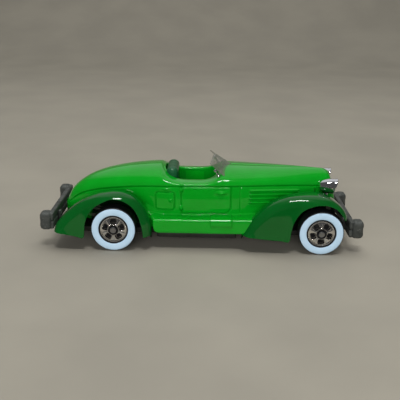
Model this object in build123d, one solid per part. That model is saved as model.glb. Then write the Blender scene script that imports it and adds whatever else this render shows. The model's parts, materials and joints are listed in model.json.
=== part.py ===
"""A 1:64 diecast collector car: an open boat-tail roadster of the 1930s.

Millimetres. +X is the front of the car, +Y its left side, +Z up.
The origin is the middle of the bounding box, on the ground.
"""

from build123d import *
import math
import os

# Running gear
WHEELBASE = 50.4
FRONT_AXLE_X = 29.05
REAR_AXLE_X = FRONT_AXLE_X - WHEELBASE
TYRE_R = 5.5
AXLE_Z = TYRE_R
WHEEL_INNER_Y = 10.3
WHEEL_OUTER_Y = 14.0
CORE_R = 3.4
CORE_RECESS = 0.5
WHITEWALL_IN_R = 3.56
WHITEWALL_OUT_R = 5.3
WHITEWALL_DEPTH = 0.35
WHITEWALL_PROUD = 0.15
SPOKES = 5
HUB_R = 1.29
HUB_PROUD = 0.1
WINDOW_W = 1.3
WINDOW_IN_R = 1.5
WINDOW_OUT_R = 2.65
WINDOW_DEPTH = 0.8
TYRE_ROUND = 0.4
RIM_FACE_T = 0.3
RIM_FACE_GAP = 0.05
AXLE_R = 0.5
BEARING_R = 0.56
AXLE_HEAD_R = 0.75
AXLE_HEAD_T = 0.3
AXLE_HEAD_ROUND = 0.18
HEAD_GAP = 0.1

# Body casting
WALL = 1.1
BODY_FLOOR_Z = 4.9
SILL_FLOOR_Z = 4.4
SILL_REAR_X = -12.2
SILL_FRONT_X = 17.0
SILL_IN_Y = 6.9
SILL_OUT_Y = 12.7
SILL_SKIN = 1.0
# y, z down the outside of the sill, from the body side to the top of the skirt
SILL_LEDGE = [(SILL_IN_Y, 8.8), (9.3, 8.4), (10.6, 7.7), (12.1, 7.5), (SILL_OUT_Y, 6.9)]
SILL_INNER_Z = (6.4, 7.4)
AXLE_SLOT_W = 2.2
AXLE_SLOT_TOP_Z = 6.6
# x, half width at the belt, belt height, top height
BODY_STATIONS = [
    (-35.3, 0.9, 6.4, 7.4),
    (-34.6, 1.6, 7.9, 9.5),
    (-33.1, 2.6, 9.8, 12.1),
    (-31.1, 3.6, 11.3, 13.9),
    (-28.1, 4.9, 12.5, 15.7),
    (-24.1, 6.2, 13.4, 17.1),
    (-19.1, 7.3, 14.2, 18.2),
    (-13.9, 8.1, 14.8, 18.8),
    (-10.2, 8.5, 15.0, 18.9),
    (-6.6, 8.8, 15.1, 17.3),
    (-3.1, 8.9, 15.2, 16.7),
    (0.6, 8.9, 15.3, 17.3),
    (4.6, 8.8, 15.3, 18.7),
    (9.4, 8.4, 15.3, 18.9),
    (17.9, 6.9, 15.2, 18.7),
    (23.9, 5.3, 14.9, 18.5),
    (27.9, 4.1, 14.6, 18.3),
    (31.0, 3.3, 14.5, 18.15),
    (36.5, 2.6, 14.3, 17.9),
]
CROWN_STEPS = 8
# A section is hollowed only where its half width is this many times the wall
MIN_HOLLOW = 3.0
# Side view of the nose, from its top down to the base
NOSE_PROFILE = [(30.6, 18.6), (32.0, 17.2), (33.2, 15.3), (34.3, 11.0), (34.8, 4.0)]
NOSE_SWEEP = 14.0
GRILLE_T = 0.7
GRILLE_SET = 0.2
GRILLE_BORDER = 0.8
GRILLE_BOTTOM_Z = 6.5
NOSE_WALL = 2.75

# Cockpit
COCKPIT_REAR_X = -9.4
COCKPIT_FRONT_X = 5.2
COCKPIT_HALF_W = 5.3
COCKPIT_CORNER_R = 2.2
TUB_T = 0.7
TUB_FLOOR_Z = 8.2
TUB_TOP_Z = 15.2

# Fenders: x, z of the side outline, tail first
FENDER_IN_Y = 3.0
FENDER_OUT_Y = 14.5
FENDER_ROUND = 1.2
FENDER_WALL = 1.0
FENDER_OPEN_DOWN = 3.0
WHEEL_ROOM = 1.0
# y, z of the valley cut along the inboard side of a front fender's top
CATWALK = [(10.6, 15.2), (9.4, 14.0), (7.2, 13.0), (5.4, 12.4), (0.0, 12.2), (0.0, 30.0), (10.6, 30.0)]
CATWALK_REAR_X = 14.0
FRONT_ARCH = (28.5, 5.6, 7.1)
FRONT_FENDER = [
    (9.7, 4.0), (11.2, 6.6), (13.4, 9.4), (16.4, 11.9), (19.9, 13.7), (24.4, 14.5),
    (28.4, 14.5), (31.4, 13.4), (33.9, 11.4), (35.35, 8.7),
]
REAR_ARCH = (-21.2, 5.8, 7.4)
REAR_FENDER = [
    (-36.2, 4.6), (-34.8, 7.2), (-32.0, 10.1), (-28.4, 12.6), (-25.0, 13.8), (-21.2, 14.4),
    (-17.6, 13.6), (-14.4, 11.0), (-12.6, 7.8), (-12.0, 3.6),
]

# Base plate
BASE_BOTTOM_Z = 2.9
BASE_TOP_Z = 4.1
BASE_NARROW_Y = 8.4
BASE_WIDE_Y = 11.4
BASE_WIDE_REAR_X = -11.0
BASE_WIDE_FRONT_X = 8.6
BASE_CORNER_R = 2.0
BASE_REAR_X = -33.0
BASE_FRONT_X = 31.5
LUG_HALF_X = 1.5
LUG_OUT_Y = 8.5
LUG_IN_Y = 7.2
LUG_TOP_Z = 7.2
RIVET_X = (-13.0, 14.0)
RIVET_R = 1.0
RIVET_HEAD_R = 1.8
RIVET_HEAD_T = 0.5
POST_R = 2.0
POST_TOP_Z = 17.9
RIVET_LENGTH = 5.0

# Bumpers
BUMPER_HALF_W = 12.9
BUMPER_BAR_Y = 12.0
BUMPER_BLOCK_W = 3.4
BAR_H = 1.9
BAR_GAP = 0.4
BAR_T = 1.3
BLOCK_T = 2.9
BLOCK_H = 4.5
BLOCK_ROUND = 1.0
REAR_BUMPER_X = -37.55
REAR_BUMPER_Z = 6.75
FRONT_BUMPER_X = 37.35
FRONT_BUMPER_Z = 6.05
REAR_BLOCK_X = -39.55
FRONT_BLOCK_X = 39.55
IRON_Y = 6.2
IRON_W = 1.5
IRON_H = 0.8
IRON_OVERLAP = 2.0

# Headlights
LAMP_Y = 5.3
LAMP_Z = 15.1
LAMP_REAR_X = 29.2
LAMP_FRONT_X = 33.6
LAMP_R = 1.9
LAMP_SWELL_X = 30.5
LAMP_SWELL_R = 1.45
LAMP_WIDE_X = 32.3
LAMP_MOUTH_R = 1.8
LENS_R = 1.62
LENS_T = 0.35
STALK_X = 31.0
STALK_R = 0.5
STALK_BOTTOM_Z = 11.6

# Windshield: the left pane is a parallelogram on three of its corners
SHIELD_OUT_LOW = (5.5, 6.0, 17.0)
SHIELD_MID_LOW = (6.9, 0.0, 18.5)
SHIELD_OUT_HIGH = (1.7, 6.0, 20.4)
SHIELD_T = 0.55
POST_Y = 6.05
SHIELD_POST_R = 0.3
SHIELD_POST_LENGTH = 3.6

# Seat and controls
SEAT_GAP = 0.25
SEAT_BACK_R = 1.5
SEAT_BACK_Z = 17.3
SEAT_HALF_W = 4.9
CUSHION_TOP_Z = 12.0
CUSHION_FRONT_X = -2.6
DASH_T = 0.6
DASH_BOTTOM_Z = 11.0
STEER_X = 3.0
STEER_Y = 3.0
STEER_Z = 13.4
STEER_R = 1.9
STEER_GRIP_R = 0.25
STEER_HUB_R = 0.5
STEER_TILT = -55.0
SPOKE_W = 0.4
SPOKE_T = 0.3
COLUMN_R = 0.3
COLUMN_LENGTH = 2.4

# Longer than anything on the car, for cutters
LONG = 60.0
# A cylinder that stands on its own origin
STANDING = (Align.CENTER, Align.CENTER, Align.MIN)


def disc(radius, y_from, y_to):
    """A cylinder along Y, centred on the X and Z axes."""
    bar = Cylinder(radius, y_to - y_from, align=STANDING)
    return Pos(0, y_from, 0) * Rot(-90, 0, 0) * bar


def block(x_from, x_to, y_from, y_to, z_from, z_to):
    """A box between two opposite corners."""
    size = Box(x_to - x_from, y_to - y_from, z_to - z_from, align=(Align.MIN,) * 3)
    return Pos(x_from, y_from, z_from) * size


def both_sides(solid):
    """The piece and its mirror image across the middle of the car."""
    return solid + solid.mirror(Plane.XZ)


def body_section(x, half_width, belt_z, top_z, inset):
    """One cross-section: flat floor, upright sides and a half-ellipse over the belt."""
    half = half_width - inset
    rise = top_z - belt_z - inset
    floor_z = BODY_FLOOR_Z - inset
    angles = [math.radians(180.0 * step / CROWN_STEPS) for step in range(CROWN_STEPS + 1)]
    crown = [(half * math.cos(a), belt_z + rise * math.sin(a)) for a in angles]
    with BuildSketch(Plane(origin=(x, 0, 0), x_dir=(0, 1, 0), z_dir=(1, 0, 0))) as section:
        with BuildLine():
            Line((-half, floor_z), (half, floor_z))
            Line((half, floor_z), (half, belt_z))
            Spline(*crown, tangents=((0, 1), (0, -1)))
            Line((-half, belt_z), (-half, floor_z))
        make_face()
    return section.sketch.face()


def body_loft(inset):
    """The hull of the body, or its hollow when inset is the wall."""
    stations = [station for station in BODY_STATIONS if station[1] > MIN_HOLLOW * inset]
    return loft([body_section(*station, inset) for station in stations])


def nose_cutter(setback):
    """Everything ahead of the V nose; setback moves it towards the rear."""
    points = [(x - setback, z) for x, z in NOSE_PROFILE]
    bottom_x, bottom_z = points[-1]
    with BuildSketch(Plane.XZ) as outline:
        with BuildLine():
            Spline(*points)
            Polyline(points[-1], (bottom_x, bottom_z - LONG), (LONG, bottom_z - LONG),
                     (LONG, LONG), (points[0][0] - WALL, LONG), points[0])
        make_face()
    half = extrude(outline.sketch, LONG, both=True)
    half = Pos(bottom_x, 0, 0) * Rot(0, 0, NOSE_SWEEP) * Pos(-bottom_x, 0, 0) * half
    return both_sides(half & block(0, 2 * LONG, 0, LONG, -LONG, LONG))


def sill():
    """The flared sills: a ledge beside the body and a skirt below it."""
    skirt_in_y = SILL_OUT_Y - SILL_SKIN
    with BuildSketch(Plane.YZ) as profile:
        with BuildLine():
            Polyline(*SILL_LEDGE, (SILL_OUT_Y, SILL_FLOOR_Z), (skirt_in_y, SILL_FLOOR_Z),
                     (skirt_in_y, SILL_INNER_Z[0]), (SILL_IN_Y, SILL_INNER_Z[1]), close=True)
        make_face()
    bar = extrude(profile.sketch, SILL_FRONT_X - SILL_REAR_X)
    return both_sides(Pos(SILL_REAR_X, 0, 0) * bar)


def body_hull():
    """The solid outer shape of the casting, before it is hollowed."""
    return body_loft(0.0) - nose_cutter(0.0) + sill()


def cockpit_well(margin, bottom_z, top_z):
    """A rounded upright slot as large as the cockpit plus a margin all round."""
    length = COCKPIT_FRONT_X - COCKPIT_REAR_X + 2 * margin
    width = 2 * (COCKPIT_HALF_W + margin)
    outline = RectangleRounded(length, width, COCKPIT_CORNER_R + margin)
    middle = (COCKPIT_FRONT_X + COCKPIT_REAR_X) / 2
    return Pos(middle, 0, bottom_z) * extrude(outline, top_z - bottom_z)


def make_body_shell(grille_pocket):
    """The hollow casting with its cockpit, axle slots and rivet posts."""
    hollow = body_loft(WALL) - nose_cutter(NOSE_WALL)
    shell = body_hull() - hollow - cockpit_well(0.0, TUB_TOP_Z - WALL, LONG) - grille_pocket
    for x in (FRONT_AXLE_X, REAR_AXLE_X):
        half = AXLE_SLOT_W / 2
        shell = shell - block(x - half, x + half, -WHEEL_INNER_Y, WHEEL_INNER_Y, 0.0, AXLE_SLOT_TOP_Z)
    for x in RIVET_X:
        post = Cylinder(POST_R, POST_TOP_Z - BASE_TOP_Z, align=STANDING)
        shell = shell + Pos(x, 0, BASE_TOP_Z) * post
        shell = shell - Pos(x, 0, 0) * Cylinder(RIVET_R, 2 * (BASE_TOP_Z + RIVET_LENGTH))
    return shell


def make_grille():
    """The insert in the V nose, and the pocket that the casting leaves for it."""
    inner = body_loft(GRILLE_BORDER)
    inner = inner & block(0, LONG, -LONG, LONG, GRILLE_BOTTOM_Z, LONG)
    band = nose_cutter(GRILLE_T + GRILLE_SET) - nose_cutter(GRILLE_SET)
    pocket = inner & (nose_cutter(GRILLE_T + GRILLE_SET) - nose_cutter(-GRILLE_BORDER))
    return inner & band, pocket


def make_fender(outline_points, arch, hull, cuts, valleys):
    """A pontoon fender on the left side: a rounded shell with an open wheel arch."""
    def prism(points, y_from, y_to):
        with BuildSketch(Plane.XZ) as outline:
            with BuildLine():
                Spline(*points)
                Line(points[-1], points[0])
            make_face()
        return Pos(0, y_to, 0) * extrude(outline.sketch, y_to - y_from)

    outer = prism(outline_points, FENDER_IN_Y, FENDER_OUT_Y)
    rim = outer.faces().sort_by(Axis.Y)[-1].edges().sort_by(Axis.Z)[-1]
    outer = fillet(rim, FENDER_ROUND)
    middle_x = arch[0]
    inner_points = []
    for x, z in outline_points:
        reach = math.hypot(x - middle_x, z)
        scale = 1.0 - FENDER_WALL / reach
        inner_points.append((middle_x + (x - middle_x) * scale, z * scale))
    inner = prism(inner_points, FENDER_IN_Y - FENDER_WALL, FENDER_OUT_Y - FENDER_WALL)
    for valley in valleys:
        outer = outer - valley
        inner = inner - Pos(0, 0, -FENDER_WALL) * valley
    lowered = Pos(0, 0, -FENDER_OPEN_DOWN) * inner
    x, z, radius = arch
    well = Pos(x, 0, z) * disc(radius, WHEEL_INNER_Y - WHEEL_ROOM, LONG)
    below = block(x - radius, x + radius, WHEEL_INNER_Y - WHEEL_ROOM, LONG, -LONG, z)
    fender = outer - inner - lowered - well - below - hull
    for cut in cuts:
        fender = fender - cut
    return fender.solids().sort_by(SortBy.VOLUME)[-1]


def catwalk():
    """The valley between the nose and the crown of a front fender."""
    with BuildSketch(Plane.YZ.offset(CATWALK_REAR_X)) as valley:
        with BuildLine():
            Polyline(*CATWALK, close=True)
        make_face()
    return extrude(valley.sketch, LONG)


def make_base():
    """The cast base plate with axle bearings and two rivet holes."""
    with BuildSketch(Plane.XY.offset(BASE_BOTTOM_Z)) as plan:
        length = BASE_FRONT_X - BASE_REAR_X
        middle = (BASE_FRONT_X + BASE_REAR_X) / 2
        with Locations((middle, 0)):
            RectangleRounded(length, 2 * BASE_NARROW_Y, BASE_CORNER_R)
        wide = BASE_WIDE_FRONT_X - BASE_WIDE_REAR_X
        with Locations(((BASE_WIDE_FRONT_X + BASE_WIDE_REAR_X) / 2, 0)):
            RectangleRounded(wide, 2 * BASE_WIDE_Y, BASE_CORNER_R / 2)
    base = extrude(plan.sketch, BASE_TOP_Z - BASE_BOTTOM_Z)
    for x in (FRONT_AXLE_X, REAR_AXLE_X):
        lug = block(x - LUG_HALF_X, x + LUG_HALF_X, LUG_IN_Y, LUG_OUT_Y, BASE_TOP_Z, LUG_TOP_Z)
        base = base + both_sides(lug)
        base = base - Pos(x, 0, AXLE_Z) * disc(BEARING_R, -LONG, LONG)
    for x in RIVET_X:
        base = base - Pos(x, 0, BASE_TOP_Z) * Cylinder(RIVET_R, LONG)
        base = base - Pos(x, 0, BASE_BOTTOM_Z) * Cylinder(RIVET_HEAD_R, 2 * RIVET_HEAD_T)
    return base


def make_rivet(x):
    """A flush-headed rivet that holds the base to a post of the casting."""
    head = Pos(x, 0, BASE_BOTTOM_Z) * Cylinder(RIVET_HEAD_R, RIVET_HEAD_T, align=STANDING)
    shank = Cylinder(RIVET_R, BASE_TOP_Z + RIVET_LENGTH - BASE_BOTTOM_Z - RIVET_HEAD_T, align=STANDING)
    return head + Pos(x, 0, BASE_BOTTOM_Z + RIVET_HEAD_T) * shank


def make_irons(bumper_x, base_end_x):
    """The two flat arms that carry a bumper on the end of the base."""
    inner_x = base_end_x - math.copysign(IRON_OVERLAP, base_end_x)
    low_x, high_x = sorted((bumper_x, inner_x))
    top_z = BASE_TOP_Z + IRON_H
    arm = block(low_x, high_x, IRON_Y - IRON_W / 2, IRON_Y + IRON_W / 2, BASE_TOP_Z, top_z)
    return both_sides(arm)


def make_bumper(bar_x, block_x, middle_z, irons):
    """Two stacked bars with an upright block at each end, and their irons."""
    inner_x = bar_x - math.copysign(BAR_T, bar_x)
    low_x, high_x = sorted((bar_x, inner_x))
    bars = irons
    for step in (-1, 1):
        z = middle_z + step * (BAR_H + BAR_GAP) / 2
        bars = bars + block(low_x, high_x, -BUMPER_BAR_Y, BUMPER_BAR_Y, z - BAR_H / 2, z + BAR_H / 2)
    web_x = sorted((inner_x, bar_x - math.copysign(BAR_T / 2, bar_x)))
    low_z = min(BASE_TOP_Z, middle_z - BAR_H / 2)
    bars = bars + block(*web_x, -BUMPER_BAR_Y, BUMPER_BAR_Y, low_z, middle_z + BAR_H / 2)
    inner_block_x = block_x - math.copysign(BLOCK_T, block_x)
    low_x, high_x = sorted((block_x, inner_block_x))
    end = block(low_x, high_x, BUMPER_HALF_W - BUMPER_BLOCK_W, BUMPER_HALF_W,
                middle_z - BLOCK_H / 2, middle_z + BLOCK_H / 2)
    end = fillet(end.edges().filter_by(Axis.Y), BLOCK_ROUND)
    return bars + both_sides(end)


def make_lamp():
    """A bullet headlamp on a short stalk, left side, and its lens."""
    front = LAMP_FRONT_X - LENS_T
    with BuildSketch(Plane.XZ) as half:
        with BuildLine():
            Spline((LAMP_REAR_X, LAMP_Z), (LAMP_SWELL_X, LAMP_Z + LAMP_SWELL_R),
                   (LAMP_WIDE_X, LAMP_Z + LAMP_R), (front, LAMP_Z + LAMP_MOUTH_R),
                   tangents=((0, 1), (1, -0.25)))
            Polyline((front, LAMP_Z + LAMP_MOUTH_R), (front, LAMP_Z), (LAMP_REAR_X, LAMP_Z))
        make_face()
    shell = revolve(half.sketch, Axis((0, 0, LAMP_Z), (1, 0, 0)))
    stalk_foot = Cylinder(STALK_R, LAMP_Z - STALK_BOTTOM_Z, align=STANDING)
    shell = shell + Pos(STALK_X, 0, STALK_BOTTOM_Z) * stalk_foot
    lens = Rot(0, 90, 0) * Cylinder(LENS_R, LENS_T, align=STANDING)
    lens = Pos(front, 0, LAMP_Z) * lens
    return Pos(0, LAMP_Y, 0) * shell, Pos(0, LAMP_Y, 0) * lens


def make_windshield(hull):
    """Two flat raked panes meeting in a V, resting on the cowl."""
    low, middle, high = (Vector(*one) for one in (SHIELD_OUT_LOW, SHIELD_MID_LOW, SHIELD_OUT_HIGH))
    pane = Face(Wire.make_polygon([low, middle, middle + high - low, high], close=True))
    slab = extrude(pane, SHIELD_T, dir=(1, 0, 0))
    slab = slab & block(0, LONG, 0, LONG, 0, LONG)
    return both_sides(slab) - hull


def make_shield_post(hull):
    """The small bright post at the outer lower corner of the left pane."""
    low = Vector(*SHIELD_OUT_LOW)
    up = Vector(*SHIELD_OUT_HIGH) - low
    foot = Vector(low.X, POST_Y + SHIELD_POST_R, low.Z)
    rod = Plane(origin=foot, z_dir=up) * Cylinder(
        SHIELD_POST_R, SHIELD_POST_LENGTH, align=STANDING)
    return rod - hull


def make_tub():
    """The cockpit lining: floor and four walls."""
    outer = cockpit_well(TUB_T, TUB_FLOOR_Z - TUB_T, TUB_TOP_Z)
    return outer - cockpit_well(0.0, TUB_FLOOR_Z, TUB_TOP_Z + 1.0)


def make_seat():
    """A bench cushion and a rolled back, inside the tub."""
    rear_x = COCKPIT_REAR_X + SEAT_GAP
    cushion = block(rear_x, CUSHION_FRONT_X, -SEAT_HALF_W, SEAT_HALF_W, TUB_FLOOR_Z, CUSHION_TOP_Z)
    back = block(rear_x, rear_x + 2 * SEAT_BACK_R, -SEAT_HALF_W, SEAT_HALF_W, TUB_FLOOR_Z, SEAT_BACK_Z)
    roll = Pos(rear_x + SEAT_BACK_R, 0, SEAT_BACK_Z) * disc(SEAT_BACK_R, -SEAT_HALF_W, SEAT_HALF_W)
    seat = cushion + back + roll
    return seat & cockpit_well(-SEAT_GAP, 0.0, LONG)


def make_dashboard():
    """A plain panel across the front of the tub."""
    well = cockpit_well(-SEAT_GAP / 2, TUB_FLOOR_Z, TUB_TOP_Z)
    panel = block(COCKPIT_FRONT_X - DASH_T, COCKPIT_FRONT_X, -LONG, LONG, DASH_BOTTOM_Z, TUB_TOP_Z)
    return well & panel


def make_steering():
    """The steering wheel with three spokes, and the column behind it."""
    reach = STEER_R - STEER_GRIP_R
    rim = Torus(reach, STEER_GRIP_R)
    wheel = rim + Cylinder(STEER_HUB_R, 2 * STEER_GRIP_R)
    for angle in (90, 210, 330):
        spoke = Pos(reach / 2, 0, 0) * Box(reach, SPOKE_W, SPOKE_T)
        wheel = wheel + Rot(0, 0, angle) * spoke
    place = Pos(STEER_X, STEER_Y, STEER_Z) * Rot(0, STEER_TILT, 0)
    rod = Cylinder(COLUMN_R, COLUMN_LENGTH, align=(Align.CENTER, Align.CENTER, Align.MAX))
    column = place * Pos(0, 0, -STEER_GRIP_R) * rod
    return place * wheel, column


def window_cutter(y_from, y_to, turn):
    """Five windows round the wheel; turn is the angle of the first from the top."""
    cutter = None
    for index in range(SPOKES):
        angle = turn + index * 360.0 / SPOKES
        window = block(-WINDOW_W / 2, WINDOW_W / 2, y_from, y_to, WINDOW_IN_R, WINDOW_OUT_R)
        window = Rot(0, angle, 0) * window
        cutter = window if cutter is None else cutter + window
    return cutter


def make_wheel(turn):
    """Tyre, whitewall ring, black core and bright rim face, on the left side at the origin."""
    face_y = WHEEL_OUTER_Y - CORE_RECESS
    tyre = disc(TYRE_R, WHEEL_INNER_Y, WHEEL_OUTER_Y)
    tyre = fillet(tyre.edges().filter_by(GeomType.CIRCLE), TYRE_ROUND)
    tyre = tyre - disc(CORE_R, 0, LONG)
    groove_y = WHEEL_OUTER_Y - WHITEWALL_DEPTH
    whitewall_top = WHEEL_OUTER_Y + WHITEWALL_PROUD
    whitewall = disc(WHITEWALL_OUT_R, groove_y, whitewall_top)
    whitewall = whitewall - disc(WHITEWALL_IN_R, 0, LONG)
    tyre = tyre - (disc(WHITEWALL_OUT_R, groove_y, LONG) - disc(WHITEWALL_IN_R, 0, LONG))
    core = disc(CORE_R, WHEEL_INNER_Y + CORE_RECESS, face_y)
    core = core + disc(HUB_R, WHEEL_INNER_Y + CORE_RECESS, WHEEL_OUTER_Y + HUB_PROUD)
    core = core - window_cutter(face_y - WINDOW_DEPTH, LONG, turn)
    core = core - disc(BEARING_R, 0, LONG)
    bright = disc(CORE_R - RIM_FACE_GAP, face_y, face_y + RIM_FACE_T) - disc(HUB_R, 0, LONG)
    bright = bright - window_cutter(0, LONG, turn)
    return {"tyre": tyre, "whitewall": whitewall, "wheel_core": core, "rim_face": bright}


def make_axle():
    """A steel wire axle with a mushroomed head at each end, at the origin."""
    head_y = WHEEL_OUTER_Y + HUB_PROUD + HEAD_GAP
    axle = disc(AXLE_R, -head_y, head_y)
    head = disc(AXLE_HEAD_R, head_y, head_y + AXLE_HEAD_T)
    head = fillet(head.faces().sort_by(Axis.Y)[-1].edges(), AXLE_HEAD_ROUND)
    return axle + both_sides(head)


def make_pieces():
    """Every node's name and solid."""
    pieces = {}
    hull = body_hull()
    grille, pocket = make_grille()
    lamp, lens = make_lamp()
    windshield = make_windshield(hull)
    post = make_shield_post(hull)
    front_irons = make_irons(FRONT_BUMPER_X, BASE_FRONT_X)
    rear_irons = make_irons(REAR_BUMPER_X, BASE_REAR_X)
    base = make_base()
    pieces["body_shell"] = make_body_shell(pocket)
    pieces["radiator_grille"] = grille
    pieces["chassis_base"] = base
    pieces["front_rivet"] = make_rivet(RIVET_X[1])
    pieces["rear_rivet"] = make_rivet(RIVET_X[0])
    pieces["front_bumper"] = make_bumper(FRONT_BUMPER_X, FRONT_BLOCK_X, FRONT_BUMPER_Z, front_irons)
    pieces["rear_bumper"] = make_bumper(REAR_BUMPER_X, REAR_BLOCK_X, REAR_BUMPER_Z, rear_irons)
    pieces["interior_tub"] = make_tub()
    pieces["seat"] = make_seat()
    pieces["dashboard"] = make_dashboard()
    pieces["steering_wheel"], pieces["steering_column"] = make_steering()
    beyond_dash = block(COCKPIT_FRONT_X - DASH_T, LONG, 0, LONG, 0, LONG)
    pieces["steering_column"] = pieces["steering_column"] - beyond_dash
    pieces["windshield"] = windshield
    front_fender = make_fender(FRONT_FENDER, FRONT_ARCH, hull, [lamp, base, front_irons], [catwalk()])
    rear_fender = make_fender(REAR_FENDER, REAR_ARCH, hull, [base, rear_irons], [])
    left_pieces = {
        "fender_front": front_fender,
        "fender_rear": rear_fender,
        "headlight": lamp,
        "headlight_lens": lens,
        "windshield_post": post - windshield,
    }
    for name, solid in left_pieces.items():
        pieces[name + "_left"] = solid
        pieces[name + "_right"] = solid.mirror(Plane.XZ)
    for end, axle_x, turn in (("front", FRONT_AXLE_X, 36.0), ("rear", REAR_AXLE_X, 0.0)):
        place = Pos(axle_x, 0, AXLE_Z)
        pieces[end + "_axle"] = place * make_axle()
        for name, solid in make_wheel(turn).items():
            pieces[f"{name}_{end}_left"] = place * solid
            pieces[f"{name}_{end}_right"] = (place * solid).mirror(Plane.XZ)
    return pieces


os.makedirs("parts", exist_ok=True)
for node, piece in make_pieces().items():
    export_step(piece, f"parts/{node}.step")
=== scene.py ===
"""A 1:64 diecast boat-tail roadster: cast body, pontoon fenders, whitewall wheels.

Shapes are written in millimetres in the row frame (+X front, +Y left, +Z up) and put
into the meshes in metres.
"""
import json

import bmesh
import bpy
import numpy as np
from mathutils import Matrix, Vector


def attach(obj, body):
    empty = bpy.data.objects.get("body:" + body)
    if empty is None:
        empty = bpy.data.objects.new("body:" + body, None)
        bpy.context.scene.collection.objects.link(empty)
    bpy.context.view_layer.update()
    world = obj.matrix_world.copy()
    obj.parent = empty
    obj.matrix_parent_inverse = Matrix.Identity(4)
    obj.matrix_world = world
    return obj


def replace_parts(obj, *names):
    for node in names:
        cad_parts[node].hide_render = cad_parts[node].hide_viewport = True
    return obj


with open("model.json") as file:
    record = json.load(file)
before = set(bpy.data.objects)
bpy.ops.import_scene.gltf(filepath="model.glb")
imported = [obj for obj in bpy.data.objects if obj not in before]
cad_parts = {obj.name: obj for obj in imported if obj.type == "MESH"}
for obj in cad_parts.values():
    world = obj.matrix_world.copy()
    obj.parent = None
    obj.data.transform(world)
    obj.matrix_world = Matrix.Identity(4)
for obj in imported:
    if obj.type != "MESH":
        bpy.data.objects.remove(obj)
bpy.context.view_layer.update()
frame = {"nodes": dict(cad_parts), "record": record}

MM = 0.001
LEFT, RIGHT = 1.0, -1.0
AXLE_X = {"front": 29.05, "rear": -21.35}
AXLE_Z = 5.5

# ---------------------------------------------------------------- shader helpers


class Val:
    """A shader value that can be used in Python arithmetic."""

    def __init__(self, kit, socket):
        self.kit = kit
        self.socket = socket

    def _math(self, operation, a, b):
        return self.kit.node("ShaderNodeMath", {"operation": operation}, {0: a, 1: b})

    def __add__(self, other):
        return self._math("ADD", self, other)

    def __radd__(self, other):
        return self._math("ADD", other, self)

    def __rsub__(self, other):
        return self._math("SUBTRACT", other, self)

    def __mul__(self, other):
        return self._math("MULTIPLY", self, other)

    def __rmul__(self, other):
        return self._math("MULTIPLY", other, self)


class Finish:
    """One material: its node tree, its principled shader, and short ways to fill it."""

    def __init__(self, name, **constants):
        self.material = bpy.data.materials.new(name)
        self.material.use_nodes = True
        self.tree = self.material.node_tree
        self.shader = next(n for n in self.tree.nodes if n.type == "BSDF_PRINCIPLED")
        for socket, value in constants.items():
            self.shader.inputs[socket.replace("_", " ")].default_value = value

    def node(self, kind, settings=None, inputs=None, output=0):
        """Adds a node, its settings first and then its sockets, and returns one output."""
        made = self.tree.nodes.new(kind)
        for key, value in (settings or {}).items():
            setattr(made, key, value)
        for key, value in (inputs or {}).items():
            if isinstance(value, Val):
                self.tree.links.new(value.socket, made.inputs[key])
            else:
                made.inputs[key].default_value = value
        return Val(self, made.outputs[output])

    def place(self):
        """Object coordinates, in metres."""
        return self.node("ShaderNodeTexCoord", output="Object")

    def axis(self, letter):
        """One object coordinate, in metres."""
        return self.node("ShaderNodeSeparateXYZ", {}, {0: self.place()}, "XYZ".index(letter))

    def noise(self, scale, detail=3.0, roughness=0.5):
        """Fractal noise of so many cells to the metre, from 0 to 1."""
        return self.node("ShaderNodeTexNoise", {}, {"Vector": self.place(), "Scale": scale,
                         "Detail": detail, "Roughness": roughness})

    def span(self, value, low, high):
        """Maps low..high onto 0..1, and clamps."""
        return self.node("ShaderNodeMapRange", {"clamp": True}, {0: value, 1: low, 2: high})

    def mix(self, factor, a, b):
        """Colour a where factor is 0 and b where it is 1."""
        return self.node("ShaderNodeMix", {"data_type": "RGBA"}, {0: factor, 6: a, 7: b}, 2)

    def bump(self, height, strength, distance):
        """A bumped normal; distance is in metres."""
        return self.node("ShaderNodeBump", {}, {"Height": height, "Strength": strength,
                         "Distance": distance})

    def feed(self, **links):
        """Links values to the shader's sockets."""
        for socket, value in links.items():
            self.tree.links.new(value.socket, self.shader.inputs[socket.replace("_", " ")])
        return self.material


def rgba(red, green, blue):
    return (red, green, blue, 1.0)


# ---------------------------------------------------------------- finishes


# Distances from an axle between which painted shade darkens the body's enamel into the wheel wells
WELL_SHADE_FADE = (6.6, 7.4)
# Heights between which painted shade darkens the base casting towards its underside
BASE_SHADE_FADE = (3.6, 4.8)
# Painted shade: the near-black green painted into the wheel wells
WELL_SHADE_COLOUR = rgba(0.0004, 0.012, 0.002)
# Painted shade: the near-black that the casting turns to towards its underside
UNDERSIDE_SHADE_COLOUR = rgba(0.012, 0.011, 0.008)


def well_shade_mask(finish, end):
    """How far into a wheel well a point is, as the mask of the painted shade there: 1 near the axle's line
    and 0 outside the well.
    """
    on_axle = finish.node("ShaderNodeCombineXYZ", {}, {0: AXLE_X[end] * MM, 1: finish.axis("Y"),
                          2: AXLE_Z * MM})
    gap = finish.node("ShaderNodeVectorMath", {"operation": "DISTANCE"},
                      {0: finish.place(), 1: on_axle}, 1)
    return finish.span(gap, WELL_SHADE_FADE[1] * MM, WELL_SHADE_FADE[0] * MM)


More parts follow.
